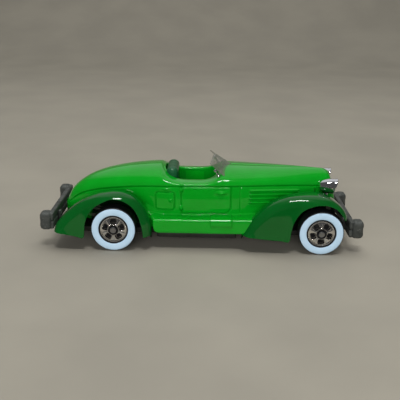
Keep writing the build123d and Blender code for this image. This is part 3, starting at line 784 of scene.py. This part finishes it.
REAR_EDGE = [(-36.0, 4.55), (-34.6, 4.45), (-32.8, 4.2), (-30.6, 3.8), (-28.75, 3.45), (-28.35, 5.4),
             (-28.1, 7.3), (-27.15, 9.6), (-25.35, 11.6), (-22.6, 13.05), (-20.95, 13.3),
             (-19.1, 13.0), (-17.5, 12.2), (-16.4, 11.2), (-15.7, 10.2), (-15.1, 9.0),
             (-14.65, 7.6), (-14.3, 6.2), (-14.1, 5.0), (-13.95, 3.75)]
CROWN_Y = 12.0
FLANK_Y = 14.5
SHOULDER = 2.3
# Share of the flank's reach that it gains evenly from the crown down to the lower edge
FLANK_LEAN = 0.18
INBOARD_FALL = 2.6
FENDER_T = 0.9
FENDER_ROLL = 0.22
ROLL_ROWS = 7


def fender_skin(u, v, crown, edge):
    """Outer skin: v from -1 at the body, 0 on the crown line, to 1 at the lower edge.

    Outboard it goes straight from crown to edge in side view while y swells as a quarter
    ellipse and leans out. Inboard it runs level and falls away as a circle does.
    """
    top = through(crown, u)
    low = through(edge, u)
    down = low - top
    length = np.linalg.norm(down, axis=-1, keepdims=True)
    out = np.clip(v, 0.0, 1.0)[..., None]
    run = (out * length)[..., 0]
    swell = np.sqrt(1.0 - (1.0 - np.clip(run / SHOULDER, 0.0, 1.0)) ** 2)
    flat = top + down * out
    y = CROWN_Y + (FLANK_Y - CROWN_Y) * swell * (1.0 - FLANK_LEAN + FLANK_LEAN * out[..., 0])
    half = table_curve(BODY, np.clip(flat[..., 0], -33.0, 30.0))[0]
    inner_y = np.maximum(half - 0.25, 3.0)
    back = np.clip(-v, 0.0, 1.0)
    y = np.where(v < 0, CROWN_Y - (CROWN_Y - inner_y) * back, y)
    fall = INBOARD_FALL * (1.0 - np.sqrt(1.0 - (0.93 * back) ** 2))
    outward = -down / np.maximum(length, 1e-6)
    steer = np.stack([0.35 * outward[..., 0], np.abs(outward[..., 1]) * 0.6 + 0.4], -1)
    flat = flat - steer * fall[..., None]
    return np.stack([flat[..., 0], y, flat[..., 1]], -1)


def add_fender(name, crown, edge, side):
    """A pontoon shell: outer skin, a rolled edge and the inner skin."""
    rows_v = np.concatenate([-np.linspace(1, 0, 34)[:-1], np.linspace(0, 1, 60) ** 1.4])
    columns = np.linspace(0.0, 1.0, 300)
    v, u = np.meshgrid(rows_v, columns, indexing="ij")
    outer = fender_skin(u, v, crown, edge)
    lower_u = np.broadcast_to(columns, (ROLL_ROWS, columns.size))
    turn = np.linspace(0.0, np.pi, ROLL_ROWS + 2)[1:-1, None]
    top, low = through(crown, lower_u), through(edge, lower_u)
    away = (low - top) / np.maximum(np.linalg.norm(low - top, axis=-1, keepdims=True), 1e-6)
    roll = fender_skin(lower_u, np.ones(lower_u.shape), crown, edge)
    roll[..., [0, 2]] += away * (FENDER_ROLL * np.sin(turn))[..., None]
    roll[..., 1] -= FENDER_T / 2 * (1 - np.cos(turn))
    back_v, back_u = np.meshgrid(rows_v[::-3], columns, indexing="ij")
    inner = fender_skin(back_u, back_v, crown, edge)
    inner[..., 1] -= FENDER_T * np.clip(back_v * 4, 0, 1)
    inner[..., 2] -= FENDER_T * np.clip(1.0 - back_v * 2.0, 0, 1)
    surface = np.vstack([outer, roll, inner])
    vertices = surface.reshape(-1, 3) * (1.0, side, 1.0)
    rows, count = surface.shape[:2]
    faces = grid_faces(rows, count, flip=side == RIGHT)
    piece = add_mesh(name, "fender_green", vertices, faces)
    # Painted shade: the inner skin's faces take a second, darker finish
    piece.data.materials.append(FENDER_PAINTED_SHADE)
    inside = np.arange(len(piece.data.polygons)) >= (len(rows_v) + ROLL_ROWS - 1) * (count - 1)
    piece.data.polygons.foreach_set("material_index", inside.astype(int))
    return piece


# ---------------------------------------------------------------- wheels

# Side view turn of the first window from the top, in degrees
FIRST_WINDOW = {"front": 36.0, "rear": 0.0}
HUB_R = 1.29
RIM_R = 3.34
RIM_BEAD_R = 3.16
FACE_Y = 13.5
WINDOWS = 5
WINDOW_MIDDLE_R = 2.08
WINDOW_CORNER_R = 0.32
WINDOW_DROP = 0.75


def rim_face(first_window):
    """The bright dished face: five rounded windows cut through it, and a low ridge along
    each spoke between them. Rows run from the hub to the rim bead."""
    radius = np.concatenate([np.linspace(HUB_R, 2.95, 70), np.linspace(2.98, RIM_R, 12)])
    angle = np.linspace(0.0, 2 * np.pi, 480, endpoint=False)
    r, a = np.meshgrid(radius, angle, indexing="ij")
    pitch = 2 * np.pi / WINDOWS
    start = np.radians(first_window)
    from_window = (a - start + pitch / 2) % pitch - pitch / 2
    from_spoke = (a - start) % pitch - pitch / 2
    dx = np.abs(r * np.sin(from_window)) - 0.28 - 0.17 * (r - 1.48)
    dz = np.abs(r - WINDOW_MIDDLE_R) - 0.28
    corner = np.hypot(np.maximum(dx, 0), np.maximum(dz, 0))
    window = corner + np.minimum(np.maximum(dx, dz), 0) - WINDOW_CORNER_R
    dome = 0.5 * (1.0 - ((r - HUB_R) / (RIM_R - HUB_R)) ** 1.6)
    rim = 0.26 * np.sqrt(np.clip(1.0 - ((r - RIM_BEAD_R) / 0.19) ** 2, 0.0, 1.0))
    spoke = 0.10 * np.exp(-(r * np.sin(from_spoke) / 0.13) ** 2) * smoothstep(2.95, 2.7, r)
    collar = 0.12 * smoothstep(1.55, 1.4, r)
    y = FACE_Y + dome + rim + spoke + collar - WINDOW_DROP * smoothstep(0.14, -0.05, window)
    vertices = np.stack([r * np.sin(a), y, r * np.cos(a)], -1).reshape(-1, 3)
    faces = grid_faces(len(radius), len(angle), wrap_columns=True, flip=True)
    inside = (window < -0.06).reshape(-1)
    return vertices, faces[~inside[faces].all(axis=1)]


def quarter(centre, radius, start, stop, steps=7):
    """Points of an arc in a profile, its angles in degrees from the axis direction."""
    angle = np.radians(np.linspace(start, stop, steps))
    return [(centre[0] + radius * np.cos(t), centre[1] + radius * np.sin(t)) for t in angle]


def add_wheel(end, side, label):
    """Tyre, whitewall, black core and bright face of one wheel."""
    body = f"wheel_{end}_{label}"
    place = (AXLE_X[end], 0.0, AXLE_Z)
    mirror = (1.0, side, 1.0)

    def add(kind, slot, shape):
        vertices, faces = moved(shape, place)
        add_solid(f"{kind}_shape_{end}_{label}", slot, [(vertices * mirror, faces)],
                  [f"{kind}_{end}_{label}"], body)

    tyre = quarter((10.75, 5.05), 0.45, 180, 90) + quarter((13.38, 4.9), 0.6, 90, 25)
    tyre += [(13.9, 5.22), (13.72, 5.2), (13.7, 3.7), (13.92, 3.62), (13.95, 3.5), (13.85, 3.42),
             (13.3, 3.4), (10.35, 3.4), (10.3, 3.5), (10.3, 5.05)]
    add("tyre", "tyre_black", turned(tyre, 1, 160))
    band = [(13.74, 3.6), (13.98, 3.61), (14.06, 3.68), (14.12, 3.95), (14.14, 4.5), (14.11, 4.95),
            (14.04, 5.2), (13.94, 5.27), (13.74, 5.22), (13.74, 3.6)]
    add("whitewall", "whitewall", turned(band, 1, 160))
    core = [(10.8, 0.6), (10.8, 3.36), (13.0, 3.36), (13.0, HUB_R), (13.85, HUB_R)]
    core += quarter((13.92, HUB_R - 0.16), 0.16, 60, 5, 5)
    core += [(14.06, 0.85), (13.98, 0.72), (13.9, 0.6), (10.8, 0.6)]
    add("wheel_core", "wheel_black", turned(core, 1, 96))
    vertices, faces = moved(rim_face(FIRST_WINDOW[end]), place)
    if side == RIGHT:
        faces = faces[:, ::-1]
    name = f"rim_face_shape_{end}_{label}"
    face = weld(add_mesh(name, "bright_foil", vertices * mirror, faces, body), 0.001)
    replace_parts(face, f"rim_face_{end}_{label}")


# ---------------------------------------------------------------- bumpers, lamps and trim


BAR_DEPTH = 1.3
BAR_HALF_H = 0.98
BAR_RISE = 1.07
BAR_END_Y = 12.3
BLOCK_END_X = 39.52
BLOCK_DEPTH = 2.85
BLOCK_HALF_H = 2.22
BLOCK_Y = (9.6, 12.88)
IRON_Y = (5.45, 6.95)


def box_between(x_ends, y_ends, z_ends, radius, steps=6):
    """A rounded box from pairs of ends given in either order."""
    ends = np.sort([x_ends, y_ends, z_ends], axis=1)
    return rounded_box(ends[:, 0], ends[:, 1], radius, steps)


def add_bumper(end, sense, bar_x, middle_z, base_x):
    """Two stacked straight bars, a rounded block at each end, two irons and their bolt heads."""
    inner_x = bar_x - sense * BAR_DEPTH
    shapes = []
    for step in (-BAR_RISE, BAR_RISE):
        z = middle_z + step
        shapes.append(box_between((bar_x, inner_x), (-BAR_END_Y, BAR_END_Y),
                                  (z - BAR_HALF_H, z + BAR_HALF_H), 0.42))
    shapes.append(box_between((bar_x - sense * 0.35, inner_x + sense * 0.35), (-12.0, 12.0),
                              (middle_z - 0.4, middle_z + 0.4), 0.1))
    block_x = sense * BLOCK_END_X
    for side in (LEFT, RIGHT):
        vertices, faces = box_between((block_x, block_x - sense * BLOCK_DEPTH),
                                      (side * BLOCK_Y[0], side * BLOCK_Y[1]),
                                      (middle_z - BLOCK_HALF_H, middle_z + BLOCK_HALF_H), 0.95, 8)
        waist = np.exp(-((vertices[:, 2] - middle_z) / 0.22) ** 2)
        outer = np.clip((vertices[:, 0] * sense - 38.4), 0.0, 1.0)
        vertices[:, 0] -= sense * 0.22 * waist * outer
        shapes.append((vertices, faces))
        stud = turned([(12.7 * side, 0.34), (12.86 * side, 0.34), (12.9 * side, 0.0)], 1, 20)
        shapes.append(moved(stud, (block_x - sense * 1.5, 0.0, middle_z + 0.25)))
        iron_y = (side * IRON_Y[0], side * IRON_Y[1])
        shapes.append(box_between((inner_x + sense * 0.3, base_x - sense * 1.9), iron_y, (4.1, 4.9), 0.25))
        drop_x = np.sort((inner_x, inner_x - sense * 0.55)) + (0.0, 0.1)
        shapes.append(box_between(drop_x, iron_y, (4.15, middle_z + 0.9), 0.25))
        for face_x, way in ((inner_x - sense * 0.5, -sense), (bar_x - sense * 0.03, sense)):
            bolt = turned([(0.0, 0.5), (0.14 * way, 0.48), (0.27 * way, 0.33), (0.32 * way, 0.0)], 0, 24)
            shapes.append(moved(bolt, (face_x, side * 6.2, middle_z + 0.1)))
    add_solid(f"{end}_bumper_casting", "bare_casting", shapes, [f"{end}_bumper"])


LAMP = (31.2, 5.05, 14.95)
LAMP_R = 1.88
# How far the lamp's front leans forward per mm of height
LAMP_LEAN = 0.33


def add_lamp(side, label):
    """A bullet lamp: an ellipse swept round its axis, a rim bead, and a mouth that leans
    forward at the top; its stalk; and a domed clear lens."""
    swell = np.linspace(0.0, 1.0, 26)
    back, wide = -2.25, 0.75
    along = back + (wide - back) * (1.0 - np.cos(swell * np.pi / 2))
    profile = [(a, LAMP_R * np.sqrt(1.0 - ((wide - a) / (wide - back)) ** 2)) for a in along]
    profile += [(1.1, 1.86), (1.42, 1.82)]
    roll = np.radians(np.linspace(160, -40, 11))
    profile += [(1.68 + 0.26 * np.cos(t), 1.8 + 0.14 * np.sin(t)) for t in roll]
    profile += [(1.86, 1.66), (1.75, 1.62), (1.3, 1.5), (0.8, 1.1), (0.55, 0.6), (0.5, 0.0)]
    lens = [(1.78, 1.62), (1.86, 1.6), (1.98, 1.3), (2.07, 0.8), (2.1, 0.0), (1.9, 0.0), (1.85, 0.9),
            (1.78, 1.3), (1.78, 1.62)]

    def leant(shape):
        vertices, faces = shape
        share = smoothstep(-1.6, 1.8, vertices[:, 0])
        vertices[:, 0] += LAMP_LEAN * vertices[:, 2] * share
        return moved((vertices, faces), (LAMP[0], side * LAMP[1], LAMP[2]))

    stalk = turned([(11.9, 0.0), (11.9, 0.62), (12.3, 0.6), (12.7, 0.45), (13.6, 0.42), (14.2, 0.0)], 2, 40)
    stalk = moved(stalk, (31.0, side * LAMP[1], 0.0))
    add_solid("headlight_shape_" + label, "chrome_plastic", [leant(turned(profile, 0)), stalk],
              ["headlight_" + label])
    add_solid("lens_shape_" + label, "lens_clear", [leant(turned(lens, 0, 64))],
              ["headlight_lens_" + label])


def add_seat():
    """A bench: a fat rolled back with rounded ends and a lower cushion with three seams."""
    back = rounded_box((-9.1, -4.95, 8.3), (-6.15, 4.95, 18.75), 1.35, 9)
    cushion = rounded_box((-7.0, -4.9, 8.3), (-2.6, 4.9, 12.0), 0.7, 7)
    for vertices, _ in (back, cushion):
        for seam in (-2.4, 0.0, 2.4):
            dent = 0.12 * np.exp(-((vertices[:, 1] - seam) / 0.2) ** 2)
            vertices[:, 2] -= dent * (vertices[:, 2] > 10.0)
    add_solid("seat_bench", "seat_green", [back, cushion], ["seat"])


# Outer and middle corners of the left pane's lower and upper edges
PANE = {"low": ((5.6, 6.9, 17.0), (7.3, 0.0, 18.6)), "high": ((1.6, 6.9, 20.6), (2.6, 0.0, 21.5))}
PANE_T = 0.55
PANE_SLAB = (8.0, 5.0)
STUD = ((4.05, 6.7, 17.3), (3.15, 6.7, 18.7))
STUD_BEAD_R = 0.42
STUD_ROD_R = 0.22


def add_windshield():
    """Two raked panes that meet in a V: rounded slabs, each stretched over the four
    corners in PANE."""
    shapes = []
    for side in (LEFT, RIGHT):
        vertices, faces = rounded_box((0.0, 0.0, 0.0), (*PANE_SLAB, PANE_T), 0.2, 5)
        in_share, up_share = vertices[:, :1] / PANE_SLAB[0], vertices[:, 1:2] / PANE_SLAB[1]
        low, high = (np.array(outer) * (1.0 - in_share) + np.array(middle) * in_share
                     for outer, middle in PANE.values())
        place = low * (1.0 - up_share) + high * up_share + vertices[:, 2:] * (1.0, 0.0, 0.0)
        shapes.append((place * (1.0, side, 1.0), faces[:, ::-1] if side == RIGHT else faces))
    add_solid("windshield_panes", "windshield_clear", shapes, ["windshield"])


def add_stud(side, label):
    """The bright pivot at the lower corner of a pane: a short rod between two beads."""
    low, high = (np.array(end) for end in STUD)
    length = np.linalg.norm(high - low)
    reach = np.linspace(-STUD_BEAD_R, length + STUD_BEAD_R, 40)
    ends = np.minimum(np.abs(reach), np.abs(reach - length))
    radius = np.sqrt(np.clip(STUD_BEAD_R ** 2 - ends ** 2, 0.0, 1.0))
    radius = np.where((reach > 0) & (reach < length), np.maximum(radius, STUD_ROD_R), radius)
    vertices, faces = turned(np.stack([reach, radius], 1), 0, 24)
    along = (high - low) / length
    second = np.array([0.0, 1.0, 0.0])
    third = np.cross(along, second)
    vertices = low + vertices[:, :1] * along + vertices[:, 1:2] * second + vertices[:, 2:] * third
    add_solid("shield_stud_" + label, "chrome_plastic", [(vertices * (1.0, side, 1.0), faces)],
              ["windshield_post_" + label])


add_windshield()
for side, label in ((LEFT, "left"), (RIGHT, "right")):
    for end in AXLE_X:
        add_wheel(end, side, label)
    add_stud(side, label)
    add_lamp(side, label)
add_bumper("front", 1.0, 37.3, 6.05, 31.5)
add_bumper("rear", -1.0, -37.5, 6.75, -33.0)
add_seat()

# ---------------------------------------------------------------- body, fenders and CAD pieces

for side, label in ((LEFT, "left"), (RIGHT, "right")):
    add_body_side(side)
    for end, lines in (("front", (FRONT_CROWN, FRONT_EDGE)), ("rear", (REAR_CROWN, REAR_EDGE))):
        fender = add_fender(f"fender_shell_{end}_{label}", *lines, side)
        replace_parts(fender, f"fender_{end}_{label}")
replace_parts(add_body_crown(), "body_shell")
add_cockpit_rim()
add_nose_face()
add_grille()

slots = {part["node"]: part["material_slot"] for part in frame["record"]["subparts"]}
for node, piece in frame["nodes"].items():
    piece.data.materials.clear()
    piece.data.materials.append(FINISHES[slots[node]])

# ---------------------------------------------------------------- floor, light, camera


# The floor's curve behind the car, in metres
CURVE_START = 0.35
CURVE_R = 0.25
CURVE_END = 0.61
# The dark card's near edge, its far edge, half width and height, in metres
CARD = (-0.051, -0.4, 0.3, 0.0004)
# Middle of the bright part of the sky, and the cosines between which it fades in
SKY_MIDDLE = (0.0, 0.6, 0.8)
SKY_FADE = (0.72, 0.86)
# Turn, downward tilt and roll in degrees, aim in millimetres, distance in metres
CAMERA_ANGLES = (0.59, 18.26, 0.96)
CAMERA_TARGET = (-0.59, 0.0, 8.92)
CAMERA_DISTANCE = 0.170
CAMERA_LENS = 58.7


def add_floor():
    """A plain pale surface that curves up behind the car."""
    turn = np.linspace(0.1, 1.5, 16)
    path_y = np.concatenate([np.linspace(-0.6, CURVE_START, 20),
                             CURVE_START + CURVE_R * np.sin(turn), np.full(8, CURVE_END)])
    path_z = np.concatenate([np.zeros(20), CURVE_R * (1 - np.cos(turn)), np.linspace(0.26, 0.30, 8)])
    x, y = np.meshgrid(np.linspace(-0.9, 0.9, 60), path_y, indexing="ij")
    z = np.broadcast_to(path_z, x.shape)
    mesh = bpy.data.meshes.new("floor")
    mesh.from_pydata(np.stack([x, y, z], -1).reshape(-1, 3).tolist(), [], grid_faces(*x.shape).tolist())
    mesh.polygons.foreach_set("use_smooth", np.full(len(mesh.polygons), True))
    finish = Finish("floor_paper")
    tone = finish.span(finish.noise(35.0, 4.0), 0.35, 0.65)
    colour = finish.mix(tone, rgba(0.30, 0.28, 0.232), rgba(0.335, 0.312, 0.258))
    finish.feed(Base_Color=colour, Roughness=0.75 + 0.1 * tone)
    mesh.materials.append(finish.material)
    floor = bpy.data.objects.new("floor", mesh)
    bpy.context.scene.collection.objects.link(floor)


def add_light(name, place, target, size, power, colour, mirrored):
    """A soft box at place that points at target, all in metres; mirrored ones show in gloss."""
    lamp = bpy.data.lights.new(name, "AREA")
    lamp.shape = "RECTANGLE"
    lamp.size, lamp.size_y = size
    lamp.energy = power
    lamp.color = colour
    box = bpy.data.objects.new(name, lamp)
    box.location = place
    box.rotation_euler = Vector(np.array(target) - np.array(place)).to_track_quat("-Z", "Y").to_euler()
    box.visible_glossy = mirrored
    bpy.context.scene.collection.objects.link(box)


def add_dark_card():
    """A black card on the floor in front of the car. Only mirrored light meets it, so it
    darkens what the upright sides reflect and isn't seen itself."""
    near, far, half, z = CARD
    mesh = bpy.data.meshes.new("dark_card")
    corners = [(-half, far, z), (half, far, z), (half, near, z), (-half, near, z)]
    mesh.from_pydata(corners, [], [(0, 1, 2, 3)])
    mesh.materials.append(FINISHES["wheel_black"])
    card = bpy.data.objects.new("dark_card", mesh)
    bpy.context.scene.collection.objects.link(card)
    card.visible_camera = card.visible_diffuse = card.visible_shadow = False


def add_sky():
    """Room light: dim all round, and bright high up behind the car."""
    world = bpy.data.worlds.new("studio")
    world.use_nodes = True
    nodes, links = world.node_tree.nodes, world.node_tree.links
    where = nodes.new("ShaderNodeTexCoord")
    along = nodes.new("ShaderNodeVectorMath")
    along.operation = "DOT_PRODUCT"
    along.inputs[1].default_value = SKY_MIDDLE
    rise = nodes.new("ShaderNodeMapRange")
    blend = nodes.new("ShaderNodeMix")
    blend.data_type = "RGBA"
    for index, value in enumerate(SKY_FADE, 1):
        rise.inputs[index].default_value = value
    blend.inputs[6].default_value = rgba(0.07, 0.07, 0.07)
    blend.inputs[7].default_value = rgba(0.56, 0.57, 0.58)
    links.new(where.outputs["Generated"], along.inputs[0])
    links.new(along.outputs["Value"], rise.inputs[0])
    links.new(rise.outputs[0], blend.inputs[0])
    links.new(blend.outputs[2], nodes["Background"].inputs["Color"])
    nodes["Background"].inputs["Strength"].default_value = 1.0
    bpy.context.scene.world = world


def add_camera():
    """Eye level a little above the car, square on to its right side."""
    turn, lift, roll = np.radians(CAMERA_ANGLES)
    back = np.array([np.sin(turn) * np.cos(lift), -np.cos(turn) * np.cos(lift), np.sin(lift)])
    right = np.cross(-back, (0.0, 0.0, 1.0))
    right /= np.linalg.norm(right)
    up = np.cross(right, -back)
    right, up = (np.cos(roll) * right + np.sin(roll) * up,
                 np.cos(roll) * up - np.sin(roll) * right)
    eye = np.array(CAMERA_TARGET) * MM + back * CAMERA_DISTANCE
    lens = bpy.data.cameras.new("camera")
    lens.lens = CAMERA_LENS
    lens.sensor_width = 36.0
    lens.clip_start = 0.005
    camera = bpy.data.objects.new("camera", lens)
    rows = [[right[i], up[i], back[i], eye[i]] for i in range(3)] + [[0, 0, 0, 1]]
    camera.matrix_world = Matrix(rows)
    bpy.context.scene.collection.objects.link(camera)
    bpy.context.scene.camera = camera


add_floor()
add_light("overhead", (0.05, 0.05, 0.55), (0.0, 0.0, 0.0), (0.7, 0.45), 1.9, (1.0, 0.98, 0.95), False)
add_light("front", (-0.1, -0.6, 0.14), (0.0, 0.0, 0.01), (0.6, 0.3), 3.0, (0.97, 0.98, 1.0), False)
add_light("window", (0.0, -0.17, 0.5), (0.0, 0.0, 0.0), (0.12, 0.035), 0.75, (1.0, 1.0, 1.0), True)
add_dark_card()
add_sky()
bpy.context.scene.view_settings.view_transform = "Standard"
add_camera()
